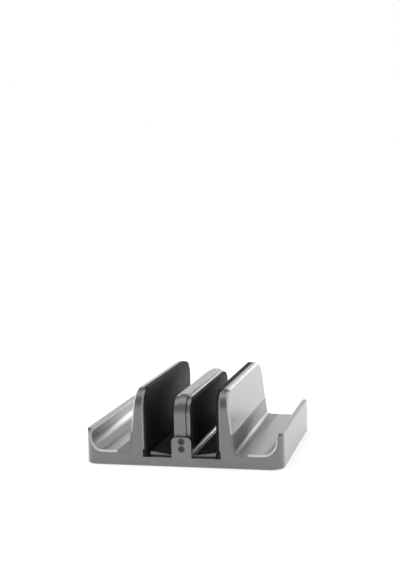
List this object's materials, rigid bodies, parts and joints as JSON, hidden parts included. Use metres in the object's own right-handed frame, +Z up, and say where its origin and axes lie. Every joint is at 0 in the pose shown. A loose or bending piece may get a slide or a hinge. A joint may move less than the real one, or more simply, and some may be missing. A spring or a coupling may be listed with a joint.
{
  "type": "vertical laptop stand",
  "caption": "Low aluminium stand with padded upright slots whose weight-worked jaws clamp a laptop or tablet, and an open phone tray along each outer side.",
  "frame": {"origin": "on the ground under the middle of the stand", "axes": "+X across the slots from the left tray to the right tray, +Y along the slots, +Z up"},
  "size_m": [0.134, 0.124, 0.051],
  "materials": {
    "anodised_aluminium": "fine blasted, space-grey anodised",
    "black_silicone": "matt",
    "grey_silicone": "satin",
    "bright_steel": "ground",
    "dark_steel": "blackened",
    "white_nylon": "plain"
  },
  "bodies": {
    "stand": {"body": "anodised_aluminium", "base_mat": "black_silicone", "front_pivot_plate": "anodised_aluminium", "rear_pivot_plate": "anodised_aluminium", "front_plate_screws": "dark_steel", "rear_plate_screws": "dark_steel", "left_tower_liner": "black_silicone", "left_tray_pad": "grey_silicone", "left_pivot_pin": "bright_steel", "left_pivot_washers": "white_nylon", "left_pedal_springs": "bright_steel", "right_tower_liner": "black_silicone", "right_tray_pad": "grey_silicone", "right_pivot_pin": "bright_steel", "right_pivot_washers": "white_nylon", "right_pedal_springs": "bright_steel"},
    "left_jaw": {"left_jaw": "anodised_aluminium", "left_jaw_pad": "black_silicone", "left_pedal_pad": "black_silicone"},
    "right_jaw": {"right_jaw": "anodised_aluminium", "right_jaw_pad": "black_silicone", "right_pedal_pad": "black_silicone"}
  },
  "joints": [
    {"name": "left_jaw_pivot", "type": "hinge", "parent": "stand", "child": "left_jaw", "pos_m": [-0.0043, 0, 0.0067], "axis": [0, -1, 0], "range_deg": [0, 8], "stiffness_Nm_per_rad": 0.2, "springref_deg": -3.44, "deforming": ["left_pedal_springs"]},
    {"name": "right_jaw_pivot", "type": "hinge", "parent": "stand", "child": "right_jaw", "pos_m": [0.0043, 0, 0.0067], "axis": [0, 1, 0], "range_deg": [0, 8], "stiffness_Nm_per_rad": 0.2, "springref_deg": -3.44, "deforming": ["right_pedal_springs"]}
  ]
}
